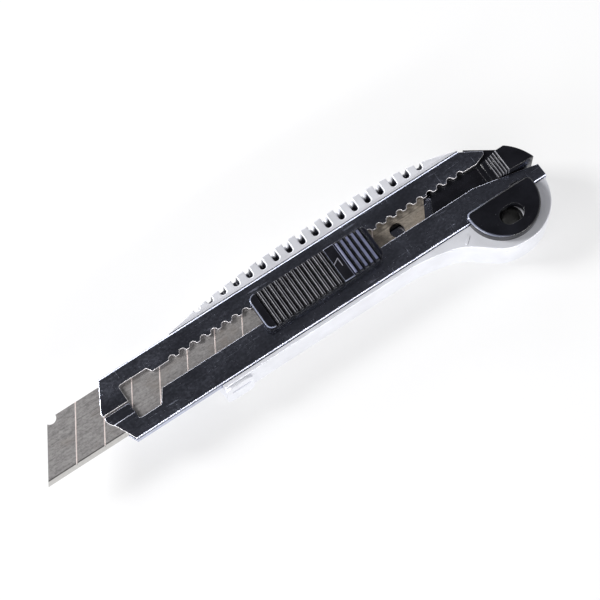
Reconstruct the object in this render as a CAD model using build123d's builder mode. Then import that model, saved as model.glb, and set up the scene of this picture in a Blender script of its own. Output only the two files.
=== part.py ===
from build123d import *
import os
from math import asin, cos, degrees, radians, sin, sqrt, tan

# Snap-off utility knife: a pressed steel channel for 18 mm blades set in a die-cast handle.
# The handle lies on its underside at Z = 0. +X runs towards the tail and the blade points to -X.
# +Y runs towards the grooved back, the cutting edge looks to -Y, and Y = 0 is the channel's centre line.

# ---- driving dimensions, millimetres ------------------------------------------------------------

# Standard 18 mm snap-off blade
blade_length = 100.0
blade_width = 18.0
blade_thickness = 0.5
blade_slant = 60.0
segment_pitch = 10.0
score_count = 7
score_width = 0.35
score_depth = 0.12
bevel_width = 1.3
edge_thickness = 0.12
tang_hole_diameter = 5.0
tang_hole_inset = 10.5
tang_chamfer = 2.6
tip_notch_radius = 2.0

# Pressed steel channel
channel_length = 157.3
channel_width = 22.7
channel_height = 4.4
channel_sheet = 0.7
channel_bend = 1.0
rivet_head = 3.6
rivet_shank = 2.2
rivet_sink = 0.35
rivet_length = 6.0
rivet_wall_gap = 1.9
rivet_front = 9.5
rivet_rear = 27.0
nose_x = -90.3
nose_slant_upper = 5.0
nose_slant_lower = 4.9
nose_slit = 0.55
face_z = 15.5

# Window and slot in the channel's face
window_inset = 9.1
window_low_y = -6.3
window_high_y = 5.95
window_low_length = 7.8
window_corner = 0.8
slot_low_y = -2.0
slot_high_y = 4.1
slot_start = 19.6
slot_flare = 21.7
arm_end_y = -6.9
tooth_pitch = 3.84
tooth_depth = 1.15
tooth_tip_drop = 0.1
tooth_count = 29
first_tooth = 27.4
valley_half = 1.1
upper_arm_end = 11.7
upper_arm_notch = 19.4

# Die-cast handle
casting_start = 30.8
casting_front_lag = 5.0
casting_wall = 1.25
casting_side_gap = 0.2
casting_edge = 2.5
casting_floor = 2.0
back_bulge = 5.8
trough_width = 14.0
groove_count = 18
groove_pitch = 4.93
groove_width = 2.1
groove_depth = 3.9
groove_corner = 0.95
groove_first = 11.4
guard_width = 9.6
guard_height = 12.4
guard_proud = 1.0

# Round tail, its cap and the lanyard hole
tail_radius = 16.2
tail_inset = 16.8
tail_above_wall = 1.8
cap_radius = 12.3
cap_inset = 17.6
cap_above_wall = 0.2
cap_flat_above_wall = 2.8
cap_rise = 2.5
cap_edge = 0.9
lanyard_inset = 17.5
lanyard_below_wall = 5.1
lanyard_bore = 5.6
lanyard_sleeve_wall = 1.0
cap_opening_length = 8.2
cap_opening_width = 5.9
screw_core = 2.6
screw_head = 5.4
screw_clearance = 0.6
screw_spread = 8.5
screw_drop = 5.0
screw_sink = 0.3

# Magazine plug in the tail
plug_split = 16.8
plug_low_y = -5.0
plug_tongue = 19.2
plug_step = 15.0
plug_clearance = 0.2
pad_radius = 16.6
pad_rise = 3.7
pad_above_tail = 13.05
step_count = 5
step_run = 0.82

# Thumb slide, its carriage and the parts in it
slide_front = 56.3
slide_length = 43.1
slide_width = 12.7
slide_centre_y = 0.05
slide_rise = 3.7
slide_corner = 2.2
base_thickness = 1.2
button_length = 11.1
button_travel = 0.5
neck_clearance = 0.3
carriage_thickness = 0.3
carriage_width = 15.5
ridge_pitch = 2.03
ridge_count = 12
ridge_groove = 1.1
ridge_depth = 0.8
button_ridge_pitch = 1.97
button_ridge_count = 5
pin_diameter = 4.6
pawl_thickness = 0.6
pawl_width = 2.6
pawl_tip = 1.5
pawl_travel = 1.25
pawl_gap = 0.3
pawl_foot = 2.4
well_wall = 0.6

# Spare blades and the follower under them
spare_shift = 48.7
follower_thickness = 0.3
follower_width = 12.0
leaf_thickness = 0.2
leaf_width = 8.0
leaf_span = 46.0
strip_gap = 0.05

# ---- places worked out from them ------------------------------------------------------------------

half_width = channel_width / 2
tail_x = nose_x + channel_length
channel_z = face_z - channel_height
sheet_z = face_z - channel_sheet
inner_z = channel_z + channel_sheet
carriage_z = sheet_z - strip_gap - carriage_thickness
blade_z = carriage_z - strip_gap - blade_thickness
spare_upper_z = blade_z - strip_gap - blade_thickness
spare_lower_z = spare_upper_z - strip_gap - blade_thickness
follower_z = spare_lower_z - strip_gap - follower_thickness
casting_top = sheet_z
casting_x = nose_x + casting_start
blade_low_y = 0.35 - blade_width / 2
slant_run = blade_width / tan(radians(blade_slant))
slot_mid_y = (slot_low_y + slot_high_y) / 2
slot_x = nose_x + slot_start
window_x = nose_x + window_inset
low_wall_y = -half_width - casting_side_gap - casting_wall - 0.05
tail_centre = (tail_x - tail_inset, -half_width + tail_above_wall)
pad_high_y = tail_centre[1] + pad_above_tail
split_x = tail_x - plug_split
corner_y = plug_low_y - plug_clearance
slide_x = nose_x + slide_front
slide_end_x = slide_x + slide_length
base_z = face_z + 0.1
slide_z = base_z + base_thickness
slide_top = face_z + slide_rise
button_x = slide_end_x - button_length
trough_start = casting_x + 12.0
leaf_x = trough_start + 8.0 + leaf_span / 2
cap_centre = (tail_x - cap_inset, -half_width + cap_above_wall)
cap_flat_y = -half_width + cap_flat_above_wall
lanyard_centre = (tail_x - lanyard_inset, -half_width - lanyard_below_wall)
tang_hole_from_tip = blade_length - slant_run / 2 - tang_hole_inset
tip_x = slide_x + 3.3 - tang_hole_from_tip
reach = 200.0


def save(part, name):
    """Label one finished piece and write it as its own STEP file."""
    part.label = name
    export_step(part, "parts/" + name + ".step")


def blade(start_x, low_z, notched):
    """A snap-off blade with its tip at start_x, scored across its upper face."""
    top_z = low_z + blade_thickness
    high_y = blade_low_y + blade_width
    with BuildPart() as made:
        with BuildSketch(Plane.XY.offset(low_z)):
            with BuildLine():
                Polyline(
                    (start_x, blade_low_y),
                    (start_x + slant_run, high_y),
                    (start_x + blade_length, high_y),
                    (start_x + blade_length - slant_run + tang_chamfer / 2, blade_low_y + tang_chamfer),
                    (start_x + blade_length - slant_run - tang_chamfer / 2, blade_low_y),
                    close=True,
                )
            make_face()
            with Locations((start_x + tang_hole_from_tip, blade_low_y + blade_width / 2)):
                Circle(tang_hole_diameter / 2, mode=Mode.SUBTRACT)
            if notched:
                with Locations((start_x + slant_run + 0.9, high_y)):
                    Circle(tip_notch_radius, mode=Mode.SUBTRACT)
        extrude(amount=blade_thickness)
        with BuildSketch(Plane.XY.offset(top_z)):
            for number in range(1, score_count + 1):
                foot_x = start_x + number * segment_pitch
                with BuildLine():
                    Polyline(
                        (foot_x, blade_low_y),
                        (foot_x + score_width, blade_low_y),
                        (foot_x + score_width + slant_run, high_y),
                        (foot_x + slant_run, high_y),
                        close=True,
                    )
                make_face()
        extrude(amount=-score_depth, mode=Mode.SUBTRACT)
        slope = (blade_thickness - edge_thickness) / 2
        with BuildSketch(Plane.YZ.offset(start_x - 1)):
            for face, side in ((top_z, -1), (low_z, 1)):
                with BuildLine():
                    Polyline(
                        (blade_low_y - 0.1, face + side * slope),
                        (blade_low_y, face + side * slope),
                        (blade_low_y + bevel_width, face),
                        (blade_low_y + bevel_width, face - side),
                        (blade_low_y - 0.1, face - side),
                        close=True,
                    )
                make_face()
        extrude(amount=blade_length + 2, mode=Mode.SUBTRACT)
    return made.part


os.makedirs("parts", exist_ok=True)

# ---- steel channel ----------------------------------------------------------------------------------

arm_slant_x = tail_x - upper_arm_end
with BuildPart() as blade_channel:
    with BuildSketch(Plane.YZ.offset(nose_x)):
        with Locations((0, face_z - channel_height / 2)):
            RectangleRounded(channel_width, channel_height, channel_bend)
            RectangleRounded(
                channel_width - 2 * channel_sheet,
                channel_height - 2 * channel_sheet,
                channel_bend - channel_sheet,
                mode=Mode.SUBTRACT,
            )
    extrude(amount=channel_length)
    # The slanted nose, cut through face, sides and back
    with BuildSketch(Plane.XY.offset(channel_z - 1)):
        with BuildLine():
            Polyline(
                (nose_x - 1, 1.35),
                (nose_x, 1.35),
                (nose_x + nose_slant_upper, half_width - 0.4),
                (nose_x + nose_slant_upper, half_width + 1),
                (nose_x - 1, half_width + 1),
                close=True,
            )
        make_face()
        with BuildLine():
            Polyline(
                (nose_x - 1, -1.05),
                (nose_x, -1.05),
                (nose_x + 0.5, -2.65),
                (nose_x + 1.8, -4.25),
                (nose_x + nose_slant_lower, -half_width + 0.6),
                (nose_x + nose_slant_lower, -half_width - 1),
                (nose_x - 1, -half_width - 1),
                close=True,
            )
        make_face()
    extrude(amount=channel_height + 2, mode=Mode.SUBTRACT)
    # The blade window, the long slot with its row of lock teeth, and the open tail of the slot
    with BuildSketch(Plane.XY.offset(sheet_z - 0.2)):
        with BuildLine():
            first_x = nose_x + first_tooth
            shoulder_y = slot_high_y + tooth_tip_drop
            Polyline(
                (first_x - valley_half, shoulder_y),
                (slot_x + 0.6, slot_high_y),
                (slot_x - 0.5, window_high_y),
                (window_x, window_high_y),
                (window_x, window_low_y),
                (window_x + window_low_length, window_low_y),
                (slot_x + 0.2, slot_low_y),
                (tail_x - slot_flare, slot_low_y),
                (tail_x + 1, arm_end_y),
                (tail_x + 1, half_width + 1),
                (arm_slant_x, window_high_y + 0.7),
                (arm_slant_x - 0.4, window_high_y - 0.3),
                (tail_x - 16, slot_high_y),
                (first_x + (tooth_count - 1) * tooth_pitch + valley_half, shoulder_y),
            )
            for number in range(tooth_count):
                valley_x = first_x + number * tooth_pitch
                ThreePointArc(
                    (valley_x - valley_half, shoulder_y),
                    (valley_x, slot_high_y + tooth_depth),
                    (valley_x + valley_half, shoulder_y),
                )
                if number < tooth_count - 1:
                    ThreePointArc(
                        (valley_x + valley_half, shoulder_y),
                        (valley_x + tooth_pitch / 2, slot_high_y - tooth_tip_drop),
                        (valley_x + tooth_pitch - valley_half, shoulder_y),
                    )
        make_face()
        window_end_x = window_x + window_low_length
        fillet([v for v in vertices() if v.X < window_end_x + 0.01], window_corner)
    extrude(amount=channel_sheet + 1, mode=Mode.SUBTRACT)
    # The upper arm ends early, on a slant, to let the magazine plug out
    with BuildSketch(Plane.XY.offset(channel_z - 1)):
        with BuildLine():
            Polyline(
                (tail_x - upper_arm_notch, half_width),
                (arm_slant_x, window_high_y + 0.7),
                (arm_slant_x - 0.4, window_high_y - 0.3),
                (tail_x - 16, slot_high_y),
                (tail_x - 16, slot_low_y),
                (tail_x + 1, arm_end_y),
                (tail_x + 1, half_width + 1),
                (tail_x - upper_arm_notch, half_width + 1),
                close=True,
            )
        make_face()
    extrude(amount=channel_height + 2, mode=Mode.SUBTRACT)
    # The back sheet stops where the magazine plug's corner block begins
    with BuildSketch(Plane.XY.offset(channel_z - 1)):
        with Locations((split_x + reach / 2, corner_y + reach / 2)):
            Rectangle(reach, reach)
    extrude(amount=channel_sheet + 1.3, mode=Mode.SUBTRACT)
    # The slit that frees the nose flap, and the flap pressed down to hold the blade
    flap_end_x = window_x - 0.15
    with BuildSketch(Plane.XY.offset(sheet_z - 0.2)):
        with Locations((nose_x, 0)):
            Rectangle(2 * window_inset + 0.5, nose_slit, mode=Mode.ADD)
        with BuildLine():
            Polyline(
                (nose_x - 1, -nose_slit / 2),
                (flap_end_x, -nose_slit / 2),
                (flap_end_x, -3.85),
                (nose_x - 1, -3.85),
                close=True,
            )
        make_face()
    extrude(amount=channel_sheet + 1, mode=Mode.SUBTRACT)
    with BuildSketch(Plane.XY.offset(carriage_z)):
        with BuildLine():
            Polyline(
                (nose_x + 0.4, -nose_slit / 2),
                (nose_x + 0.05, -1.05),
                (nose_x + 0.5, -2.65),
                (nose_x + 1.45, -3.85),
                (flap_end_x, -3.85),
                (flap_end_x, -nose_slit / 2),
                close=True,
            )
        make_face()
    extrude(amount=channel_sheet)
    # Rivet holes in the back sheet, counterbored so that heads sit flush
    rivet_y = half_width - channel_sheet - rivet_wall_gap
    rivet_xs = (casting_x + rivet_front, tail_x - rivet_rear)
    with Locations([(x, y, inner_z) for x in rivet_xs for y in (-rivet_y, rivet_y)]):
        CounterBoreHole(rivet_shank / 2, rivet_head / 2, rivet_sink, depth=channel_sheet + 0.1)
save(blade_channel.part, "blade_channel")

with BuildPart() as channel_rivets:
    with BuildSketch(Plane.XY.offset(inner_z)):
        with Locations([(x, y) for x in rivet_xs for y in (-rivet_y, rivet_y)]):
            Circle(rivet_head / 2)
    extrude(amount=-rivet_sink)
    with BuildSketch(Plane.XY.offset(inner_z - rivet_sink)):
        with Locations([(x, y) for x in rivet_xs for y in (-rivet_y, rivet_y)]):
            Circle(rivet_shank / 2)
    extrude(amount=-rivet_length)
save(channel_rivets.part, "channel_rivets")

# ---- die-cast handle --------------------------------------------------------------------------------

bed_low_y = -half_width - casting_side_gap
bed_high_y = half_width + casting_side_gap - 0.05
front_low_x = casting_x + casting_front_lag
tail_low_y = tail_centre[1] - tail_radius
corner_angle = degrees(asin((corner_y - tail_centre[1]) / tail_radius))
corner_x = tail_centre[0] + tail_radius * cos(radians(corner_angle))
with BuildPart() as handle_casting:
    with BuildSketch():
        with BuildLine():
            waist = (tail_x - 54.0, low_wall_y)
            tail_foot = (tail_centre[0], tail_low_y)
            Line((front_low_x, low_wall_y), waist)
            Spline(
                waist,
                (tail_x - 42.0, low_wall_y - 1.6),
                (tail_x - 36.6, low_wall_y - 3.1),
                (tail_x - 27.6, low_wall_y - 9.5),
                tail_foot,
                tangents=((1, 0), (1, 0)),
            )
            CenterArc(tail_centre, tail_radius, -90, 90 + corner_angle)
            Polyline(
                (corner_x, corner_y),
                (split_x, corner_y),
                (split_x, bed_high_y - 0.4),
                (split_x - 1.6, bed_high_y + 0.1),
            )
            Spline(
                (split_x - 1.6, bed_high_y + 0.1),
                (tail_x - 32.0, bed_high_y + 0.67 * back_bulge),
                (tail_x - 62.0, bed_high_y + back_bulge),
                (casting_x + 34.0, bed_high_y + 0.83 * back_bulge),
                (casting_x + 14.0, bed_high_y + 0.48 * back_bulge),
                (casting_x, bed_high_y + 0.1),
            )
            Line((casting_x, bed_high_y + 0.1), (front_low_x, low_wall_y))
        make_face()
    extrude(amount=casting_top)
    fillet(handle_casting.edges().filter_by(Axis.Z).sort_by(Axis.X)[-1], casting_edge + 0.5)
    fillet(handle_casting.faces().sort_by(Axis.Z)[0].edges(), casting_edge)
    # The front of the handle sweeps back underneath
    with BuildSketch(Plane.XZ.offset(-reach / 2)):
        with BuildLine():
            Line((casting_x - 3, channel_z - 0.4), (casting_x - 0.2, channel_z - 0.4))
            ThreePointArc(
                (casting_x - 0.2, channel_z - 0.4),
                (casting_x + 2.6, channel_z / 2 - 0.6),
                (casting_x + 8.0, -0.2),
            )
            Line((casting_x + 8.0, -0.2), (casting_x - 3, -0.2))
            Line((casting_x - 3, -0.2), (casting_x - 3, channel_z - 0.4))
        make_face()
    extrude(amount=reach, mode=Mode.SUBTRACT)
    # Finger guard pad on the cutting-edge side
    guard_x = casting_x + 9.4
    guard_z = casting_top - 0.6 - guard_height / 2
    with BuildSketch(Plane.XZ.offset(-low_wall_y - 0.6)):
        with Locations((guard_x, guard_z)):
            RectangleRounded(guard_width, guard_height, 2.2)
    extrude(amount=0.6 + guard_proud)
    fillet(handle_casting.faces().sort_by(Axis.Y)[0].edges(), 0.45)
    with BuildSketch(Plane.XZ.offset(-low_wall_y + guard_proud - 0.5)):
        with Locations((guard_x + 0.6, guard_z + 1.6)):
            SlotOverall(guard_width - 2.6, 1.3)
    extrude(amount=1.0, mode=Mode.SUBTRACT)
    # Bed for the channel, and the trough under it
    with BuildSketch(Plane.XY.offset(channel_z)):
        with Locations((0, (bed_low_y + bed_high_y) / 2)):
            Rectangle(2 * reach, bed_high_y - bed_low_y)
    extrude(amount=channel_height + 1, mode=Mode.SUBTRACT)
    with BuildSketch(Plane.XY.offset(casting_floor)):
        with BuildLine():
            Polyline(
                (trough_start, -trough_width / 2),
                (split_x - 12, -trough_width / 2),
                (split_x - 10, corner_y),
                (split_x + 1, corner_y),
                (split_x + 1, trough_width / 2),
                (trough_start, trough_width / 2),
                close=True,
            )
        make_face()
    extrude(amount=reach, mode=Mode.SUBTRACT)
    # Grip grooves across the back
    groove_y = bed_high_y + casting_wall
    groove_reach = 2 * back_bulge
    with BuildSketch(Plane.XY.offset(casting_top)):
        for number in range(groove_count):
            centre_x = casting_x + groove_first + number * groove_pitch
            with Locations((centre_x, groove_y + groove_reach / 2)):
                RectangleRounded(groove_width, groove_reach, groove_corner)
    extrude(amount=-groove_depth, taper=5, mode=Mode.SUBTRACT)
    # Lanyard hole and cap screw holes
    with Locations((*lanyard_centre, casting_top)):
        Hole(lanyard_bore / 2 + lanyard_sleeve_wall, depth=casting_top + 1)
    screw_y = tail_centre[1] - screw_drop
    screw_points = [(lanyard_centre[0] + side * screw_spread, screw_y) for side in (-1, 1)]
    with Locations([Location((x, y, 0), (180, 0, 0)) for x, y in screw_points]):
        CounterSinkHole(
            (screw_core + screw_clearance) / 2,
            screw_head / 2 + screw_clearance,
            depth=casting_top + 1,
            counter_sink_angle=90,
        )
    # Rivet holes under the channel
    with Locations([(x, y, channel_z) for x in rivet_xs for y in (-rivet_y, rivet_y)]):
        Hole(rivet_shank / 2, depth=rivet_length + 0.5)
    # Small raised bar on the tail's top face
    with BuildSketch(Plane.XY.offset(casting_top - 0.3)):
        with Locations(Location((tail_x - 33.1, low_wall_y - 2.1, 0), (0, 0, 40))):
            SlotOverall(3.2, 0.7)
    extrude(amount=0.5)
save(handle_casting.part, "handle_casting")

# ---- tail cap, its screws and the lanyard sleeve ---------------------------------------------------

with BuildPart() as tail_cap:
    with BuildSketch(Plane.XY.offset(casting_top)):
        with Locations(cap_centre):
            Circle(cap_radius)
        with Locations((cap_centre[0], cap_flat_y + cap_radius)):
            Rectangle(3 * cap_radius, 2 * cap_radius, mode=Mode.SUBTRACT)
        corners = [v for v in vertices() if abs(v.Y - cap_flat_y) < 0.01]
        fillet(corners, 2.0)
        with Locations(lanyard_centre):
            SlotOverall(cap_opening_length, cap_opening_width, mode=Mode.SUBTRACT)
    extrude(amount=channel_sheet + cap_rise)
    top_rim = tail_cap.faces().sort_by(Axis.Z)[-1].outer_wire().edges()
    fillet(top_rim, cap_edge)
    # Small thumbnail bump on the straight edge
    with BuildSketch(Plane.XY.offset(face_z)):
        with Locations((cap_centre[0] + 6.6, cap_flat_y)):
            SlotOverall(3.4, 1.1)
    extrude(amount=cap_rise - 0.3)
    # Step that clears the steel arm under the cap
    with BuildSketch(Plane.XY.offset(casting_top - 1)):
        with Locations((cap_centre[0], bed_low_y + 50)):
            Rectangle(100, 100)
    extrude(amount=1 + channel_sheet + strip_gap, mode=Mode.SUBTRACT)
    with Locations([Location((x, y, casting_top), (180, 0, 0)) for x, y in screw_points]):
        Hole(screw_core / 2, depth=2.2)
save(tail_cap.part, "tail_cap")

with BuildPart() as cap_screws:
    with BuildSketch(Plane.XY.offset(screw_sink)):
        with Locations(screw_points):
            Circle(screw_head / 2)
    extrude(amount=(screw_head - screw_core) / 2, taper=45)
    with BuildSketch(Plane.XY.offset(screw_sink)):
        with Locations(screw_points):
            Circle(screw_core / 2)
    extrude(amount=casting_top + 1.9 - screw_sink)
    with BuildSketch(Plane.XY.offset(screw_sink)):
        with Locations(screw_points):
            Rectangle(3.2, 0.7)
            Rectangle(0.7, 3.2)
    extrude(amount=0.8, mode=Mode.SUBTRACT)
save(cap_screws.part, "cap_screws")

with BuildPart() as lanyard_sleeve:
    with BuildSketch(Plane.XY.offset(0.2)):
        with Locations(lanyard_centre):
            Circle(lanyard_bore / 2 + lanyard_sleeve_wall)
            Circle(lanyard_bore / 2, mode=Mode.SUBTRACT)
    extrude(amount=casting_top - 0.2)
save(lanyard_sleeve.part, "lanyard_sleeve")

# ---- magazine plug -----------------------------------------------------------------------------------

plug_top = sheet_z - 0.1
tongue_top = carriage_z - 0.2
tongue_z = inner_z + 0.15
tongue_half = half_width - channel_sheet - 0.35
step_x = tail_x - plug_step
pad_x = step_x + 1.8 + step_count * step_run
pad_z = face_z + pad_rise
corner_pad_x = tail_centre[0] + sqrt(pad_radius**2 - (pad_high_y - tail_centre[1]) ** 2)
pad_foot_x = tail_centre[0] + sqrt(pad_radius**2 - (plug_low_y - tail_centre[1]) ** 2)
block_x = split_x + plug_clearance
with BuildPart() as plug_body:
    # Corner block that closes the rear of the handle
    with BuildSketch(Plane.XY.offset(0.4)):
        with BuildLine():
            Line((block_x, plug_low_y), (block_x, half_width - 0.6))
            Line((block_x, half_width - 0.6), (corner_pad_x - 1.2, pad_high_y + 1.3))
            Line((corner_pad_x - 1.2, pad_high_y + 1.3), (corner_pad_x, pad_high_y))
            ThreePointArc(
                (corner_pad_x, pad_high_y),
                (
                    tail_centre[0] + pad_radius * cos(radians(32)),
                    tail_centre[1] + pad_radius * sin(radians(32)),
                ),
                (pad_foot_x, plug_low_y),
            )
            Line((pad_foot_x, plug_low_y), (block_x, plug_low_y))
        make_face()
    extrude(amount=plug_top - 0.4)
    fillet(plug_body.faces().sort_by(Axis.Z)[0].edges().sort_by(Axis.X)[-3:], 1.6)
    # Tongue that lies in the channel behind the spare blades
    with BuildSketch(Plane.XY.offset(tongue_z)):
        with BuildLine():
            tongue_x = split_x - plug_tongue
            tongue_run = 2 * tongue_half / tan(radians(blade_slant))
            Polyline(
                (tongue_x - tongue_run / 2, -tongue_half),
                (tongue_x + tongue_run / 2, tongue_half),
                (block_x - 2.0, tongue_half),
                (block_x + 1.0, tongue_half - 3.4),
                (block_x + 1.0, plug_low_y),
                (block_x - 3.0, -tongue_half),
                close=True,
            )
        make_face()
    extrude(amount=tongue_top - tongue_z)
    # Spigot that guides the plug in the trough
    with BuildSketch(Plane.XY.offset(casting_floor + plug_clearance)):
        with Locations((block_x - 6.5, (corner_y + trough_width / 2) / 2)):
            Rectangle(15.0, trough_width / 2 - corner_y - 2 * plug_clearance)
    extrude(amount=channel_z - casting_floor - 1.2)
with BuildPart() as thumb_pad:
    # Stepped ramp and fan-shaped thumb pad, cut to its outline
    with BuildSketch(Plane.XZ.offset(-pad_high_y - 1)):
        with BuildLine():
            Polyline(
                (step_x, plug_top - 0.5),
                (step_x, face_z - 0.1),
                (step_x + 1.8, face_z),
                *[
                    (
                        step_x + 1.8 + (number + side) * step_run,
                        face_z + (number + 1) * pad_rise / step_count,
                    )
                    for number in range(step_count)
                    for side in (0, 1)
                ],
                (pad_foot_x + 1, pad_z),
                (pad_foot_x + 1, plug_top - 0.5),
                close=True,
            )
        make_face()
    extrude(amount=pad_high_y + 1 - plug_low_y + 1)
    with BuildSketch(Plane.XY):
        with BuildLine():
            Line((step_x, slot_low_y - 1.2), (step_x, pad_high_y))
            Line((step_x, pad_high_y), (corner_pad_x, pad_high_y))
            ThreePointArc(
                (corner_pad_x, pad_high_y),
                (
                    tail_centre[0] + pad_radius * cos(radians(32)),
                    tail_centre[1] + pad_radius * sin(radians(32)),
                ),
                (pad_foot_x, plug_low_y),
            )
            Line((pad_foot_x, plug_low_y), (pad_x, plug_low_y + 0.5))
            Line((pad_x, plug_low_y + 0.5), (step_x, slot_low_y - 1.2))
        make_face()
    extrude(amount=reach, mode=Mode.INTERSECT)
    fillet(thumb_pad.faces().sort_by(Axis.Z)[-1].edges(), 0.3)
with BuildPart() as magazine_plug:
    add(plug_body.part)
    add(thumb_pad.part)
save(magazine_plug.part, "magazine_plug")

# ---- blades and follower -----------------------------------------------------------------------------

spare_x = tip_x + spare_shift
save(blade(tip_x, blade_z, True), "working_blade")
save(blade(spare_x, spare_upper_z, False), "spare_blade_upper")
save(blade(spare_x, spare_lower_z, False), "spare_blade_lower")

with BuildPart() as follower_plate:
    with BuildSketch(Plane.XY.offset(follower_z)):
        with Locations((leaf_x, blade_low_y + blade_width / 2)):
            RectangleRounded(leaf_span + 36.0, follower_width, 1.5)
            with GridLocations(leaf_span + 20.0, 1, 2, 1):
                SlotOverall(10.0, 3.0, mode=Mode.SUBTRACT)
    extrude(amount=follower_thickness)
save(follower_plate.part, "follower_plate")

with BuildPart() as follower_spring:
    crown_z = follower_z - strip_gap
    leaf_start = leaf_x - leaf_span / 2
    leaf_end = leaf_x + leaf_span / 2
    with BuildSketch(Plane.XZ.offset(-leaf_width / 2)):
        with BuildLine():
            Line((leaf_start, inner_z), (leaf_start + 3, inner_z))
            ThreePointArc(
                (leaf_start + 3, inner_z),
                (leaf_x, crown_z - leaf_thickness),
                (leaf_end - 3, inner_z),
            )
            Polyline(
                (leaf_end - 3, inner_z),
                (leaf_end, inner_z),
                (leaf_end, inner_z + leaf_thickness),
                (leaf_end - 3.2, inner_z + leaf_thickness),
            )
            ThreePointArc(
                (leaf_end - 3.2, inner_z + leaf_thickness),
                (leaf_x, crown_z),
                (leaf_start + 3.2, inner_z + leaf_thickness),
            )
            Polyline(
                (leaf_start + 3.2, inner_z + leaf_thickness),
                (leaf_start, inner_z + leaf_thickness),
                (leaf_start, inner_z),
            )
        make_face()
    extrude(amount=leaf_width)
save(follower_spring.part, "follower_spring")

# ---- thumb slide ---------------------------------------------------------------------------------------

pin_x = tip_x + tang_hole_from_tip
pin_y = blade_low_y + blade_width / 2
teeth_from_pawl = round((button_x + 4.2 - nose_x - first_tooth) / tooth_pitch)
pawl_x = nose_x + first_tooth + teeth_from_pawl * tooth_pitch
pawl_y = slot_high_y - tooth_tip_drop - pawl_gap
pawl_shoulder_y = pawl_y - pawl_travel
pawl_foot_y = slot_low_y + pawl_foot
neck_low_y = slot_low_y + neck_clearance
neck_high_y = slot_high_y - tooth_tip_drop - 0.2
well_y = neck_low_y + well_wall
neck_x = pin_x + pin_diameter / 2 + 0.4
neck_end_x = slide_end_x - 3.6
plate_top = carriage_z + carriage_thickness
rivet_holes = ((neck_x + 6.0, slot_mid_y), (neck_x + 18.0, slot_mid_y))
stem_x = pawl_x + pawl_width / 2 + 2.4
stem_radius = 1.1

with BuildPart() as carriage_plate:
    with BuildSketch(Plane.XY.offset(carriage_z)):
        with Locations(((slide_x + slide_end_x) / 2, pin_y)):
            RectangleRounded(slide_length - 0.4, carriage_width, 2.0)
        with Locations((pin_x, pin_y)):
            Circle(pin_diameter / 4, mode=Mode.SUBTRACT)
        with Locations(rivet_holes):
            Circle(1.0, mode=Mode.SUBTRACT)
    extrude(amount=carriage_thickness)
save(carriage_plate.part, "carriage_plate")

with BuildPart() as blade_pin:
    with Locations((pin_x, pin_y, blade_z + strip_gap)):
        Cylinder(pin_diameter / 2, blade_thickness, align=(Align.CENTER, Align.CENTER, Align.MIN))
        Cylinder(
            pin_diameter / 4,
            plate_top - blade_z,
            align=(Align.CENTER, Align.CENTER, Align.MIN),
        )
    with Locations((pin_x, pin_y, plate_top)):
        Cylinder(1.7, 0.5, align=(Align.CENTER, Align.CENTER, Align.MIN))
save(blade_pin.part, "blade_pin")

with BuildPart() as carriage_rivets:
    with Locations([(x, y, carriage_z) for x, y in rivet_holes]):
        Cylinder(1.0, base_z + 0.8 - carriage_z, align=(Align.CENTER, Align.CENTER, Align.MIN))
save(carriage_rivets.part, "carriage_rivets")

with BuildPart() as slide_carrier:
    # Neck that runs in the slot, open across its width for the lock pawl
    with BuildSketch(Plane.XY.offset(plate_top)):
        with Locations(((neck_x + neck_end_x) / 2, (neck_low_y + neck_high_y) / 2)):
            Rectangle(neck_end_x - neck_x, neck_high_y - neck_low_y)
        with Locations((pawl_x, neck_high_y + well_y)):
            Rectangle(pawl_width + 0.2, 2 * neck_high_y, mode=Mode.SUBTRACT)
    extrude(amount=base_z - plate_top)
    # Base that rides above the steel face
    with BuildSketch(Plane.XY.offset(base_z)):
        with Locations(((slide_x + slide_end_x) / 2, slide_centre_y)):
            RectangleRounded(slide_length, slide_width, slide_corner)
    extrude(amount=base_thickness)
    with BuildSketch(Plane.XY.offset(slide_z - 0.05)):
        with Locations(((button_x + slide_end_x) / 2 + 1, slide_centre_y)):
            Rectangle(button_length + 2, slide_width + 1)
    extrude(amount=1, mode=Mode.SUBTRACT)
    with Locations((stem_x, slide_centre_y, slide_z)):
        Hole(stem_radius + 0.15, depth=base_thickness + 1)
    with Locations([(x, y, base_z + 0.8) for x, y in rivet_holes]):
        Hole(1.0, depth=3)
save(slide_carrier.part, "slide_carrier")

with BuildPart() as thumb_slide:
    ridge_half = ridge_pitch * (ridge_count - 1) / 2
    ridge_x = slide_x + 4.15 + ridge_half
    with BuildSketch(Plane.XY.offset(slide_z)):
        with Locations(((slide_x + slide_end_x) / 2, slide_centre_y)):
            RectangleRounded(slide_length, slide_width, slide_corner)
        with Locations((slide_end_x, slide_centre_y)):
            Rectangle(2 * button_length + 0.6, slide_width + 1, mode=Mode.SUBTRACT)
    extrude(amount=slide_top - slide_z)
    fillet(thumb_slide.faces().sort_by(Axis.Z)[-1].edges(), 0.5)
    with BuildSketch(Plane.XZ.offset(-slide_width)):
        with Locations((ridge_x, slide_top)):
            with GridLocations(ridge_pitch, 1, ridge_count + 1, 1):
                RectangleRounded(ridge_groove, 2 * ridge_depth, 0.35)
    extrude(amount=2 * slide_width, mode=Mode.SUBTRACT)
save(thumb_slide.part, "thumb_slide")

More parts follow.
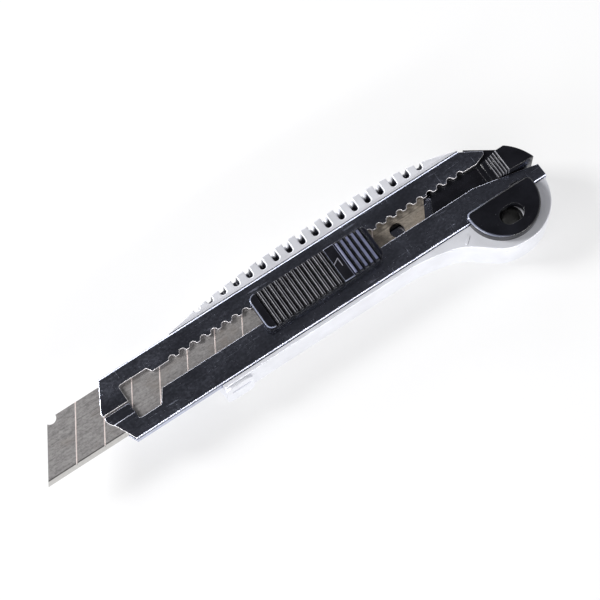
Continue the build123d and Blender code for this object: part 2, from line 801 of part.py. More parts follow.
with BuildPart() as reload_button:
    button_z = slide_z + button_travel
    with BuildSketch(Plane.XY.offset(button_z)):
        with Locations(((slide_x + slide_end_x) / 2, slide_centre_y)):
            RectangleRounded(slide_length, slide_width, slide_corner)
        with Locations((button_x - reach / 2, slide_centre_y)):
            Rectangle(reach, slide_width + 1, mode=Mode.SUBTRACT)
    extrude(amount=slide_top - button_z)
    fillet(reload_button.faces().sort_by(Axis.Z)[-1].edges(), 0.5)
    with BuildSketch(Plane.XZ.offset(-slide_width)):
        with Locations((button_x + 0.4 + button_ridge_pitch * (button_ridge_count - 1) / 2, slide_top)):
            with GridLocations(button_ridge_pitch, 1, button_ridge_count + 1, 1):
                RectangleRounded(button_ridge_pitch - 1.0, 2 * ridge_depth, 0.35)
    extrude(amount=2 * slide_width, mode=Mode.SUBTRACT)
    # Pocket for the return spring and the stem that runs in the base
    with Locations((stem_x, slide_centre_y, button_z)):
        Hole(2.2, depth=0.9)
    with Locations((stem_x, slide_centre_y, base_z + button_travel + 0.2)):
        Cylinder(
            stem_radius,
            button_z + 0.95 - base_z - button_travel - 0.2,
            align=(Align.CENTER, Align.CENTER, Align.MIN),
        )
save(reload_button.part, "reload_button")

with BuildPart() as button_spring:
    with Locations((stem_x, slide_centre_y, slide_z - 0.05)):
        Cylinder(1.9, button_z + 0.85 - slide_z, align=(Align.CENTER, Align.CENTER, Align.MIN))
        Cylinder(1.4, reach, mode=Mode.SUBTRACT)
save(button_spring.part, "button_spring")

with BuildPart() as lock_pawl:
    pawl_z = plate_top + strip_gap
    with BuildSketch(Plane.XY.offset(pawl_z)):
        with BuildLine():
            Polyline(
                (pawl_x - pawl_tip / 2, pawl_y - pawl_tip / 3),
                (pawl_x - pawl_width / 2, pawl_shoulder_y),
                (pawl_x - pawl_width / 2, pawl_foot_y),
                (pawl_x + pawl_width / 2, pawl_foot_y),
                (pawl_x + pawl_width / 2, pawl_shoulder_y),
                (pawl_x + pawl_tip / 2, pawl_y - pawl_tip / 3),
            )
            ThreePointArc(
                (pawl_x + pawl_tip / 2, pawl_y - pawl_tip / 3),
                (pawl_x, pawl_y),
                (pawl_x - pawl_tip / 2, pawl_y - pawl_tip / 3),
            )
        make_face()
    extrude(amount=pawl_thickness)
save(lock_pawl.part, "lock_pawl")

with BuildPart() as pawl_spring:
    with BuildSketch(Plane.XY.offset(pawl_z)):
        with BuildLine():
            Polyline(
                (pawl_x - 1.1, well_y + 0.15),
                (pawl_x + 1.0, well_y + 0.45),
                (pawl_x - 1.0, well_y + 0.95),
                (pawl_x + 1.1, well_y + 1.35),
            )
            offset(amount=0.12)
        make_face()
    extrude(amount=pawl_thickness - 0.1)
save(pawl_spring.part, "pawl_spring")
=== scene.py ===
"""Snap-off utility knife dressed for close views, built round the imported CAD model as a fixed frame."""
import logging
import math
from dataclasses import dataclass, field
from enum import Enum
from typing import Callable, Optional, Sequence

import bmesh
import bpy
from mathutils import Matrix, Vector


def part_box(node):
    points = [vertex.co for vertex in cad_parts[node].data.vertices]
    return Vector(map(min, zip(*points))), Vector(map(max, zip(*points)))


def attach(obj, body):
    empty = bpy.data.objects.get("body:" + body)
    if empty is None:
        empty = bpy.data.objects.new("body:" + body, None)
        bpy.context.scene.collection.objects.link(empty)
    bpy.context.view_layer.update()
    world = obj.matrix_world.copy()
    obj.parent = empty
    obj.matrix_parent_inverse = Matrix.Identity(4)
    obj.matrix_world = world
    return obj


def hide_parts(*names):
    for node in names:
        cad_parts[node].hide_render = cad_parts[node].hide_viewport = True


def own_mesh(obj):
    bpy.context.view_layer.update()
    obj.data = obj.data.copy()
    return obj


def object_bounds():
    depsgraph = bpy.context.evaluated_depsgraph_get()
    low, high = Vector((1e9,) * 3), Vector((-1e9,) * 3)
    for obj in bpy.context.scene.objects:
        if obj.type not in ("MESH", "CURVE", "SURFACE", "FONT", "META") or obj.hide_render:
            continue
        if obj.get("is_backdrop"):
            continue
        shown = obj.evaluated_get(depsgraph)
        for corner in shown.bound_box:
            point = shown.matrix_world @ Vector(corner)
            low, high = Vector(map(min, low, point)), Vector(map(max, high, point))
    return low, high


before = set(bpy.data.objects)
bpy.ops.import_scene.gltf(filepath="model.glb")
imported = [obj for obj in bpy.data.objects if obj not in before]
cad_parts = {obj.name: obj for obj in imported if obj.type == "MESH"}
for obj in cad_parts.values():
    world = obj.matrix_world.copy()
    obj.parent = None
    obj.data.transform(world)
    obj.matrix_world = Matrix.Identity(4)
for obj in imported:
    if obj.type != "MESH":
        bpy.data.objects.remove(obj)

LOG = logging.getLogger("knife")
MM = 0.001

Link = bpy.types.NodeSocket
Stroke = tuple[tuple[float, float], tuple[float, float]]


class Slot(str, Enum):
    """Material slots of the record, one named with each new piece."""

    CASTING = "die_cast_silver"
    CHANNEL = "channel_steel"
    BLACK = "black_plastic"
    BLUE_BLACK = "blue_black_plastic"
    SPRING = "spring_steel"


# ---- node building --------------------------------------------------------------------------------


class Shader:
    """A small hand for building one node material around a Principled surface."""

    def __init__(self, name: str) -> None:
        """Start an empty material that reads Object coordinates.

        Args:
            name: Name of the material.
        """
        self.material = bpy.data.materials.new(name)
        self.material.use_nodes = True
        self.tree = self.material.node_tree
        self.tree.nodes.clear()
        self.out = self.tree.nodes.new("ShaderNodeOutputMaterial")
        self.surface = self.tree.nodes.new("ShaderNodeBsdfPrincipled")
        self.tree.links.new(self.surface.outputs["BSDF"], self.out.inputs["Surface"])
        self.place = self.tree.nodes.new("ShaderNodeTexCoord").outputs["Object"]

    def set(self, **values: float | tuple) -> None:
        """Set sockets of the Principled surface; an underscore stands for a space.

        Args:
            **values: Socket name to number or colour.
        """
        for name, value in values.items():
            self.surface.inputs[name.replace("_", " ")].default_value = value

    def join(self, source: Link, target: str) -> None:
        """Link an output to a socket of the surface."""
        self.tree.links.new(source, self.surface.inputs[target])

    def node(self, kind: str, **inputs: object) -> bpy.types.Node:
        """Add a node and fill its inputs, by link or by value.

        Args:
            kind: Blender's node type.
            **inputs: Socket name, with underscores for spaces, to a value or an output to link.

        Returns:
            The new node.
        """
        made = self.tree.nodes.new(kind)
        for name, value in inputs.items():
            socket = made.inputs[name.replace("_", " ")]
            if isinstance(value, bpy.types.NodeSocket):
                self.tree.links.new(value, socket)
            else:
                socket.default_value = value
        return made

    def stretch(self, scale: Sequence[float], turn: float = 0.0) -> Link:
        """Object coordinates scaled, and turned about Z, for a directional pattern.

        Args:
            scale: Factor along each axis.
            turn: Angle about Z in degrees.

        Returns:
            The mapped vector.
        """
        made = self.node("ShaderNodeMapping", Vector=self.place, Scale=tuple(scale))
        made.inputs["Rotation"].default_value = (0.0, 0.0, math.radians(turn))
        return made.outputs["Vector"]

    def noise(self, vector: Link, scale: float, detail: float = 4.0, rough: float = 0.6) -> Link:
        """Noise between about 0.25 and 0.75."""
        made = self.node("ShaderNodeTexNoise", Vector=vector, Scale=scale, Detail=detail, Roughness=rough)
        return made.outputs["Fac"]

    def spread(self, value: Link, low: float, high: float, to_low: float, to_high: float) -> Link:
        """Map a range of one value onto another range, clamped."""
        made = self.node("ShaderNodeMapRange", Value=value)
        for name, number in (("From Min", low), ("From Max", high), ("To Min", to_low), ("To Max", to_high)):
            made.inputs[name].default_value = number
        return made.outputs["Result"]

    def sum(self, kind: str, first: object, second: object = 0.0, third: object = 0.0) -> Link:
        """One Math node.

        Args:
            kind: The operation, such as MULTIPLY.
            first: First operand, a number or a link.
            second: Second operand.
            third: Third operand, where the operation has one.

        Returns:
            The result.
        """
        made = self.tree.nodes.new("ShaderNodeMath")
        made.operation = kind
        for socket, value in zip(made.inputs, (first, second, third)):
            if isinstance(value, bpy.types.NodeSocket):
                self.tree.links.new(value, socket)
            else:
                socket.default_value = value
        return made.outputs[0]

    def blend(self, share: Link, first: object, second: object) -> Link:
        """Mix two colours by a share from 0 to 1."""
        made = self.tree.nodes.new("ShaderNodeMix")
        made.data_type = "RGBA"
        sockets = [s for s in made.inputs if s.enabled]
        for socket, value in zip(sockets, (share, first, second)):
            if isinstance(value, bpy.types.NodeSocket):
                self.tree.links.new(value, socket)
            else:
                socket.default_value = value if isinstance(value, float) else (*value, 1.0)
        return [s for s in made.outputs if s.enabled][0]

    def axes(self) -> tuple[Link, Link, Link]:
        """The three object coordinates, each on its own."""
        made = self.node("ShaderNodeSeparateXYZ", Vector=self.place)
        return made.outputs["X"], made.outputs["Y"], made.outputs["Z"]

    def band(self, value: Link, low: float, high: float, soft: float = 0.02 * MM) -> Link:
        """Share that is 1 while a value is between two numbers, with soft ends."""
        rise = self.spread(value, low - soft, low + soft, 0.0, 1.0)
        fall = self.spread(value, high - soft, high + soft, 1.0, 0.0)
        return self.sum("MULTIPLY", rise, fall)

    def repeat(self, value: Link, start: float, pitch: float) -> Link:
        """Distance past the last multiple of a pitch, counted from a start."""
        return self.sum("FLOORED_MODULO", self.sum("SUBTRACT", value, start), pitch)

    def stroke(self, start: Sequence[float], end: Sequence[float], half: float) -> Link:
        """Share that is 1 within a half width of a line across the top face.

        Args:
            start: X and Y of one end, in metres.
            end: X and Y of the other end.
            half: Half the line's width.

        Returns:
            The share.
        """
        x, y, _ = self.axes()
        run = (end[0] - start[0], end[1] - start[1])
        square = run[0] ** 2 + run[1] ** 2
        dx = self.sum("SUBTRACT", x, start[0])
        dy = self.sum("SUBTRACT", y, start[1])
        along = self.sum("MULTIPLY_ADD", dx, run[0] / square, self.sum("MULTIPLY", dy, run[1] / square))
        along = self.spread(along, 0.0, 1.0, 0.0, 1.0)
        off_x = self.sum("SUBTRACT", dx, self.sum("MULTIPLY", along, run[0]))
        off_y = self.sum("SUBTRACT", dy, self.sum("MULTIPLY", along, run[1]))
        far = self.sum("SQRT", self.sum("MULTIPLY_ADD", off_x, off_x, self.sum("MULTIPLY", off_y, off_y)))
        return self.spread(far, half * 0.6, half, 1.0, 0.0)

    def any(self, *shares: Link) -> Link:
        """The largest of several shares."""
        total = shares[0]
        for share in shares[1:]:
            total = self.sum("MAXIMUM", total, share)
        return total

    def relief(self, *layers: tuple[Link, float]) -> None:
        """Stack bump layers on the surface.

        Args:
            *layers: Height in 0 to 1, and how deep that is in millimetres.
        """
        normal: Optional[Link] = None
        for height, depth in layers:
            bump = self.node("ShaderNodeBump", Height=height, Distance=depth * MM)
            bump.inputs["Strength"].default_value = 1.0
            if normal is not None:
                self.tree.links.new(normal, bump.inputs["Normal"])
            normal = bump.outputs["Normal"]
        if normal is not None:
            self.join(normal, "Normal")


# ---- finishes ---------------------------------------------------------------------------------------


@dataclass(frozen=True)
class ChannelSteel:
    """Polished channel steel: hairline scratches, patches, bright cut edges, and a dark line of painted
    shade at each bend.
    """

    name: str = "channel_steel"
    tint: tuple[float, float, float] = (0.67, 0.71, 0.87)
    cut_tint: tuple[float, float, float] = (0.80, 0.77, 0.76)
    roughness: float = 0.15
    top_z: float = 15.5 * MM
    sheet: float = 0.7 * MM
    steep: float = 0.80
    side_y: float = 11.35 * MM
    bend_z: float = 14.7 * MM
    bend_half: float = 0.24 * MM

    def build(self) -> bpy.types.Material:
        """Return the material."""
        s = Shader(self.name)
        _, y, z = s.axes()
        cloud = s.noise(s.stretch((1.0, 2.0, 1.0)), 55.0, 5.0)
        mottle = s.noise(s.stretch((1.0, 1.5, 1.0)), 900.0, 4.0, 0.7)
        hair = s.noise(s.stretch((60.0, 900.0, 900.0), 7.0), 1.0, 2.0)
        cross = s.noise(s.stretch((1400.0, 120.0, 900.0), 38.0), 1.0, 2.0)
        speck = s.noise(s.place, 1700.0, 2.0)
        marks = s.any(s.spread(hair, 0.62, 0.72, 0.0, 1.0), s.spread(cross, 0.67, 0.76, 0.0, 1.0),
                      s.spread(speck, 0.69, 0.75, 0.0, 1.0))
        marks = s.sum("MULTIPLY", marks, s.spread(cloud, 0.40, 0.60, 0.15, 1.0))
        dull = tuple(c * 0.72 for c in self.tint)
        patch = s.sum("MULTIPLY_ADD", mottle, 0.5, s.sum("MULTIPLY", cloud, 0.5))
        colour = s.blend(s.spread(patch, 0.40, 0.60, 0.0, 1.0), dull, self.tint)
        outside = s.sum("GREATER_THAN", s.sum("ABSOLUTE", y), self.side_y - 0.3 * MM)
        # Painted shade: a dark line on the outer side walls at the bend, where the gap beside the casting
        # lies in shade.
        painted_shade_line = s.band(z, self.bend_z - self.bend_half, self.bend_z + self.bend_half, 0.06 * MM)
        painted_shade_line = s.sum("MULTIPLY", painted_shade_line, outside)
        colour = s.blend(s.sum("MULTIPLY", painted_shade_line, 0.93), colour, (0.02, 0.02, 0.03))
        normal = s.node("ShaderNodeNewGeometry").outputs["True Normal"]
        facing = s.node("ShaderNodeSeparateXYZ", Vector=normal)
        cut = s.sum("LESS_THAN", s.sum("ABSOLUTE", facing.outputs["Z"]), self.steep)
        cut = s.sum("MULTIPLY", cut, s.sum("SUBTRACT", 1.0, outside))
        cut = s.sum("MULTIPLY", cut, s.sum("GREATER_THAN", z, self.top_z - self.sheet - 0.05 * MM))
        s.join(s.blend(s.sum("MULTIPLY", cut, s.spread(mottle, 0.3, 0.6, 0.6, 0.95)), colour, self.cut_tint),
               "Base Color")
        rough = s.spread(patch, 0.40, 0.62, self.roughness * 0.8, self.roughness * 1.7)
        s.join(s.sum("MULTIPLY_ADD", marks, 0.22, rough), "Roughness")
        s.join(s.sum("MULTIPLY_ADD", cut, -0.70, 1.0), "Metallic")
        s.relief((hair, 0.0003), (marks, 0.0006), (mottle, 0.0008))
        return s.material


@dataclass(frozen=True)
class BladeSteel:
    """Ground blade steel: grain along the blade, score lines painted bright as a highlight, a dark band
    above the edge, and a bright honed edge.
    """

    name: str = "blade_steel"
    tint: tuple[float, float, float] = (0.345, 0.332, 0.328)
    line_highlight_tint: tuple[float, float, float] = (0.95, 0.84, 0.80)
    edge_tint: tuple[float, float, float] = (0.54, 0.53, 0.51)
    edge_y: float = 0.0
    tip_x: float = 0.0
    bevel: float = 1.3 * MM
    dark_band_width: float = 0.35 * MM
    pitch: float = 10.0 * MM
    slant: float = 60.0
    line: float = 0.42 * MM
    count: int = 7

    def build(self) -> bpy.types.Material:
        """Return the material."""
        s = Shader(self.name)
        x, y, _ = s.axes()
        fine = s.noise(s.stretch((160.0, 5200.0, 5200.0)), 1.0, 3.0)
        coarse = s.noise(s.stretch((18.0, 900.0, 900.0)), 1.0, 3.0)
        mottle = s.noise(s.stretch((1.0, 1.6, 1.0)), 1000.0, 5.0, 0.7)
        stain = s.noise(s.stretch((1.0, 1.6, 1.0)), 120.0, 4.0)
        grain = s.sum("ADD", s.sum("MULTIPLY", fine, 0.35), s.sum("MULTIPLY", coarse, 0.13))
        grain = s.sum("MULTIPLY_ADD", mottle, 0.52, grain)
        dark = tuple(c * 0.60 for c in self.tint)
        light = tuple(min(1.0, c * 1.28) for c in self.tint)
        colour = s.blend(s.spread(grain, 0.40, 0.60, 0.0, 1.0), dark, light)
        streak = s.spread(s.noise(s.stretch((14.0, 1700.0, 1700.0)), 1.0, 1.0), 0.67, 0.73, 0.0, 0.5)
        colour = s.blend(streak, colour, tuple(c * 0.28 for c in self.tint))
        warm = tuple(c * w for c, w in zip(self.tint, (0.84, 0.76, 0.68)))
        colour = s.blend(s.spread(stain, 0.52, 0.72, 0.0, 0.5), colour, warm)
        up = s.sum("SUBTRACT", y, self.edge_y)
        lean = 1.0 / math.tan(math.radians(self.slant))
        from_tip = s.sum("MULTIPLY_ADD", up, -lean, s.sum("SUBTRACT", x, self.tip_x))
        within = s.repeat(from_tip, -self.line / 2, self.pitch)
        # Painted highlight: the score lines are painted pale where their grooves would catch the light.
        on_line_highlight = s.band(within, 0.0, self.line, 0.05 * MM)
        run = s.band(from_tip, self.pitch * 0.5, self.pitch * (self.count + 0.5))
        on_line_highlight = s.sum("MULTIPLY", on_line_highlight, run)
        above = s.sum("GREATER_THAN", up, self.bevel)
        on_line_highlight = s.sum("MULTIPLY", on_line_highlight, above)
        on_edge = s.spread(up, self.bevel - 0.05 * MM, self.bevel, 1.0, 0.0)
        # A dark band painted just above the honed edge.
        on_dark_band = s.band(up, self.bevel, self.bevel + self.dark_band_width, 0.08 * MM)
        colour = s.blend(s.sum("MULTIPLY", on_dark_band, 0.75), colour, tuple(c * 0.12 for c in self.tint))
        edge_grain = s.spread(mottle, 0.35, 0.65, 0.78, 1.0)
        colour = s.blend(s.sum("MULTIPLY", on_edge, edge_grain), colour, self.edge_tint)
        # Painted highlight on the score lines.
        colour = s.blend(on_line_highlight, colour, self.line_highlight_tint)
        s.join(colour, "Base Color")
        rough = s.spread(grain, 0.35, 0.65, 0.46, 0.34)
        bright = s.any(on_line_highlight, on_edge)
        s.join(s.sum("MULTIPLY_ADD", bright, 0.1, rough), "Roughness")
        s.join(s.sum("MULTIPLY_ADD", bright, -0.35, 0.50), "Metallic")
        s.relief((coarse, 0.003), (fine, 0.0014))
        return s.material


@dataclass(frozen=True)
class CastSilver:
    """Fine satin of a lacquered zinc casting, with painted shade down in the grip grooves."""

    name: str = "die_cast_silver"
    tint: tuple[float, float, float] = (0.82, 0.83, 0.875)
    groove_shade: tuple[float, float, float] = (0.012, 0.013, 0.022)
    front_x: float = 0.0
    top_z: float = 0.0
    groove_first: float = 11.4 * MM
    groove_pitch: float = 4.93 * MM
    groove_width: float = 2.1 * MM
    groove_count: int = 18
    groove_y: float = 12.75 * MM
    groove_shade_run: float = 3.7 * MM
    groove_shade_under: tuple[float, float] = (0.55 * MM, 0.25 * MM)
    groove_shade_depth: float = 4.6 * MM

    def build(self) -> bpy.types.Material:
        """Return the material."""
        s = Shader(self.name)
        x, y, z = s.axes()
        grain = s.noise(s.place, 5200.0, 3.0)
        cloud = s.noise(s.place, 90.0, 4.0)
        shade = tuple(c * 0.90 for c in self.tint)
        colour = s.blend(s.spread(cloud, 0.35, 0.65, 0.0, 1.0), shade, self.tint)
        spot = s.spread(s.noise(s.place, 620.0, 2.0), 0.72, 0.78, 0.0, 0.6)
        colour = s.blend(spot, colour, (0.35, 0.36, 0.38))
        start = self.front_x + self.groove_first - self.groove_pitch / 2
        within = s.repeat(x, start, self.groove_pitch)
        middle, half = self.groove_pitch / 2, self.groove_width / 2
        across = s.band(within, middle - half - 0.05 * MM, middle + half + 0.05 * MM, 0.06 * MM)
        # Painted shade: each grip groove is darkened from its inner end outwards and below the top, where it
        # lies in shade.
        inward = s.spread(y, self.groove_y + 0.7 * self.groove_shade_run, self.groove_y + self.groove_shade_run, 1.0, 0.0)
        inward = s.sum("MULTIPLY", inward, s.sum("GREATER_THAN", y, self.groove_y - 0.1 * MM))
        below = s.spread(z, self.top_z - self.groove_shade_under[0], self.top_z - self.groove_shade_under[1], 1.0, 0.0)
        above = s.sum("GREATER_THAN", z, self.top_z - self.groove_shade_depth)
        last = s.sum("LESS_THAN", x, start + self.groove_count * self.groove_pitch)
        in_groove_shade = s.sum("MULTIPLY", s.sum("MULTIPLY", across, inward), s.sum("MULTIPLY", below, above))
        in_groove_shade = s.sum("MULTIPLY", in_groove_shade, last)
        # Painted shade in the grip grooves.
        s.join(s.blend(in_groove_shade, colour, self.groove_shade), "Base Color")
        s.join(s.spread(cloud, 0.3, 0.7, 0.30, 0.42), "Roughness")
        s.join(s.sum("MULTIPLY_ADD", in_groove_shade, -0.28, 0.28), "Metallic")
        s.relief((cloud, 0.02), (grain, 0.006))
        return s.material


@dataclass(frozen=True)
class PaintedEdgeHighlights:
    """Painted highlights along the top edges of ridges across X."""

    start: float = 0.0
    pitch: float = 1.0 * MM
    count: int = 0
    offsets: tuple[float, ...] = (0.0,)
    half: float = 0.12 * MM
    low_z: float = 0.0
    high_z: float = 1.0
    low_y: float = -1.0
    high_y: float = 1.0
    tint: tuple[float, float, float] = (0.30, 0.30, 0.32)

    def share(self, s: Shader) -> Link:
        """Share of the surface that the painted highlights cover.

        Args:
            s: Shader the nodes go into.

        Returns:
            The share.
        """
        x, y, z = s.axes()
        within = s.repeat(x, self.start - self.pitch / 2, self.pitch)
        lines = [s.band(within, self.pitch / 2 + o - self.half, self.pitch / 2 + o + self.half, 0.04 * MM)
                 for o in self.offsets]
        share = s.any(*lines)
        span = s.band(x, self.start - self.pitch / 2, self.start + (self.count - 0.5) * self.pitch)
        share = s.sum("MULTIPLY", share, span)
        share = s.sum("MULTIPLY", share, s.band(z, self.low_z, self.high_z, 0.03 * MM))
        share = s.sum("MULTIPLY", share, s.band(y, self.low_y, self.high_y, 0.1 * MM))
        patchiness = s.noise(s.stretch((700.0, 260.0, 700.0)), 1.0, 3.0)
        return s.sum("MULTIPLY", share, s.spread(patchiness, 0.3, 0.5, 0.55, 1.0))


@dataclass(frozen=True)
class PaintedRimHighlight:
    """Painted highlight on the rounded top rim of a moulding, at its front end and past a point behind."""

    top_z: float
    front_x: float
    fade: float = 1.0 * MM
    rear_x: float = 1.0
    drop: tuple[float, float] = (0.42 * MM, 0.06 * MM)
    tint: tuple[float, float, float] = (0.20, 0.22, 0.30)

    def share(self, s: Shader) -> Link:
        """Share of the surface that the painted rim highlight covers.

        Args:
            s: Shader the nodes go into.

        Returns:
            The share.
        """
        x, _, z = s.axes()
        rim = s.band(z, self.top_z - self.drop[0], self.top_z - self.drop[1], 0.05 * MM)
        front = s.spread(x, self.front_x - self.fade, self.front_x, 1.0, 0.0)
        return s.sum("MULTIPLY", rim, s.any(front, s.sum("GREATER_THAN", x, self.rear_x)))


@dataclass(frozen=True)
class PressedMark:
    """Strokes pressed into a top face, with their lines painted pale as a highlight."""

    strokes: tuple[Stroke, ...]
    low_z: float
    half: float = 0.17 * MM
    depth: float = 0.05
    tint: tuple[float, float, float] = (0.26, 0.26, 0.30)

    def share(self, s: Shader) -> Link:
        """Share of the surface that the strokes cover.

        Args:
            s: Shader the nodes go into.

        Returns:
            The share.
        """
        _, _, z = s.axes()
        lines = s.any(*[s.stroke(start, end, self.half) for start, end in self.strokes])
        return s.sum("MULTIPLY", lines, s.sum("GREATER_THAN", z, self.low_z))


@dataclass(frozen=True)
class BlackPlastic:
    """Gloss black moulding with a faint texture, fine scuffs, and painted highlights on ridge edges, rims
    and pressed marks.
    """

    name: str = "black_plastic"
    tint: tuple[float, float, float] = (0.0066, 0.0068, 0.0090)
    roughness: float = 0.20
    painted_highlights: Optional[PaintedEdgeHighlights] = None
    rim: Optional[PaintedRimHighlight] = None
    mark: Optional[PressedMark] = None

    def build(self) -> bpy.types.Material:
        """Return the material."""
        s = Shader(self.name)
        grain = s.noise(s.place, 3800.0, 3.0)
        cloud = s.noise(s.place, 160.0, 4.0)
        scuff = s.noise(s.stretch((500.0, 2600.0, 1500.0), 24.0), 1.0, 2.0)
        scuffs = s.spread(scuff, 0.66, 0.74, 0.0, 1.0)
        speck = s.spread(s.noise(s.place, 1300.0, 2.0), 0.735, 0.765, 0.0, 0.35)
        lighter = tuple(c * 2.4 for c in self.tint)
        colour = s.blend(s.spread(cloud, 0.4, 0.7, 0.0, 0.5), self.tint, lighter)
        colour = s.blend(speck, colour, (0.20, 0.20, 0.22))
        rough = s.spread(cloud, 0.35, 0.7, self.roughness * 0.85, self.roughness * 1.25)
        rough = s.sum("ADD", rough, s.sum("MULTIPLY", scuffs, 0.10))
        layers = [(grain, 0.0016), (cloud, 0.006)]
        if self.painted_highlights is not None:
            # Painted highlights on the ridge edges.
            share = self.painted_highlights.share(s)
            colour = s.blend(share, colour, self.painted_highlights.tint)
            rough = s.sum("MULTIPLY_ADD", share, 0.18, rough)
        if self.rim is not None:
            # Painted highlight on the rounded rim.
            colour = s.blend(self.rim.share(s), colour, self.rim.tint)
        if self.mark is not None:
            # Painted highlight on the pressed strokes, with their relief below.
            strokes = self.mark.share(s)
            colour = s.blend(s.sum("MULTIPLY", strokes, 0.8), colour, self.mark.tint)
            layers.append((s.sum("SUBTRACT", 1.0, strokes), self.mark.depth))
        s.join(colour, "Base Color")
        s.join(rough, "Roughness")
        s.set(Metallic=0.0, Specular_IOR_Level=0.55)
        s.relief(*layers)
        return s.material


@dataclass(frozen=True)
class PlainSteel:
    """Drawn or turned small steel part."""

    name: str = "plain_steel"
    tint: tuple[float, float, float] = (0.55, 0.55, 0.56)
    lines: tuple[float, float, float] = (220.0, 3080.0, 3080.0)

    def build(self) -> bpy.types.Material:
        """Return the material."""
        s = Shader(self.name)
        line = s.noise(s.stretch(self.lines), 1.0, 3.0)
        dark = tuple(c * 0.75 for c in self.tint)
        s.join(s.blend(s.spread(line, 0.38, 0.62, 0.0, 1.0), dark, self.tint), "Base Color")
        s.join(s.spread(line, 0.35, 0.65, 0.28, 0.42), "Roughness")
        s.set(Metallic=1.0)
        s.relief((line, 0.002))
        return s.material


# ---- mesh helpers -----------------------------------------------------------------------------------


def to_object(bm: bmesh.types.BMesh, name: str, material: bpy.types.Material) -> bpy.types.Object:
    """Turn a finished bmesh into a linked object with one material and crisp smooth shading.

    Args:
        bm: The mesh, in metres, in the row frame. It is freed.
        name: Object name.
        material: Its material.

    Returns:
        The new object, at the origin.
    """
    bmesh.ops.recalc_face_normals(bm, faces=bm.faces)
    mesh = bpy.data.meshes.new(name)
    bm.to_mesh(mesh)
    bm.free()
    mesh.materials.append(material)
    made = bpy.data.objects.new(name, mesh)
    bpy.context.scene.collection.objects.link(made)
    mesh.shade_smooth()
    return made


def ease(made: bpy.types.Object, radius: float, segments: int = 3) -> None:
    """Round the weighted edges of a piece and keep its flats flat.

    Args:
        made: The piece.
        radius: Width of the rounding in metres.
        segments: Steps in the rounding.
    """
    bevel = made.modifiers.new("eased edges", "BEVEL")
    bevel.width = radius
    bevel.segments = segments
    bevel.limit_method = "WEIGHT"
    bevel.use_clamp_overlap = False
    bevel.material = -1
    flat = made.modifiers.new("flat faces", "WEIGHTED_NORMAL")
    flat.mode = "FACE_AREA"
    flat.weight = 100
    flat.keep_sharp = True


def everywhere(point: Vector) -> float:
    """All of the easing at any point."""
    return 1.0


def eased_copy(node: str, name: str, material: bpy.types.Material, radius: float, angle: float = 28.0,
               share: Callable[[Vector], float] = everywhere) -> bpy.types.Object:
    """A copy of a CAD node with its flat faces made whole and its sharp edges eased.

    Args:
        node: CAD node to copy.
        name: Name of the new piece.
        material: Its material.
        radius: Edge radius in metres.
        angle: Smallest turn between faces that counts as an edge, in degrees.
        share: Share of the radius that an edge gets, from its midpoint; at 0 it stays sharp.

    Returns:
        The new object, not yet riding on a body.
    """
    bm = bmesh.new()
    bm.from_mesh(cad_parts[node].data)
    bmesh.ops.remove_doubles(bm, verts=bm.verts, dist=1e-6)
    bmesh.ops.dissolve_limit(bm, angle_limit=math.radians(1.5), use_dissolve_boundaries=False,
                             verts=bm.verts, edges=bm.edges, delimit={"NORMAL"})
    weight = bm.edges.layers.float.new("bevel_weight_edge")
    limit = math.radians(angle)
    for edge in bm.edges:
        if len(edge.link_faces) != 2 or edge.calc_face_angle(0.0) < limit:
            continue
        edge[weight] = share((edge.verts[0].co + edge.verts[1].co) / 2)
        edge.smooth = edge[weight] > 0.0
    made = to_object(bm, name, material)
    ease(made, radius)
    return made


def stand_in(node: str, body: str, slot: Slot, made: bpy.types.Object) -> None:
    """Let a piece ride on a body in place of a CAD node.

    Args:
        node: CAD node it stands for.
        body: Body it moves with.
        slot: The record's material slot; not used.
        made: The piece.
    """
    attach(made, body)
    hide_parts(node)
    LOG.info("%s stands for %s", made.name, node)


def dress(node: str, material: bpy.types.Material) -> None:
    """Give a CAD node its own material in every slot."""
    mesh_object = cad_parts[node]
    mesh_object.data.materials.clear()
    mesh_object.data.materials.append(material)


# ---- studio -----------------------------------------------------------------------------------------


@dataclass(frozen=True)
class Lamp:
    """One soft box: where it stands, its width and height in metres, and its power in watts."""

    name: str
    place: tuple[float, float, float]
    size: tuple[float, float]
    power: float

    def hang(self, aim: Sequence[float]) -> None:
        """Add the lamp, turned to a point.

        Args:
            aim: Point it faces, in metres.
        """
        data = bpy.data.lights.new(self.name, "AREA")
        data.energy = self.power
        data.shape = "RECTANGLE"
        data.size, data.size_y = self.size
        made = bpy.data.objects.new(self.name, data)
        made.location = self.place
        made.rotation_euler = (Vector(aim) - Vector(self.place)).to_track_quat("-Z", "Y").to_euler()
        bpy.context.scene.collection.objects.link(made)


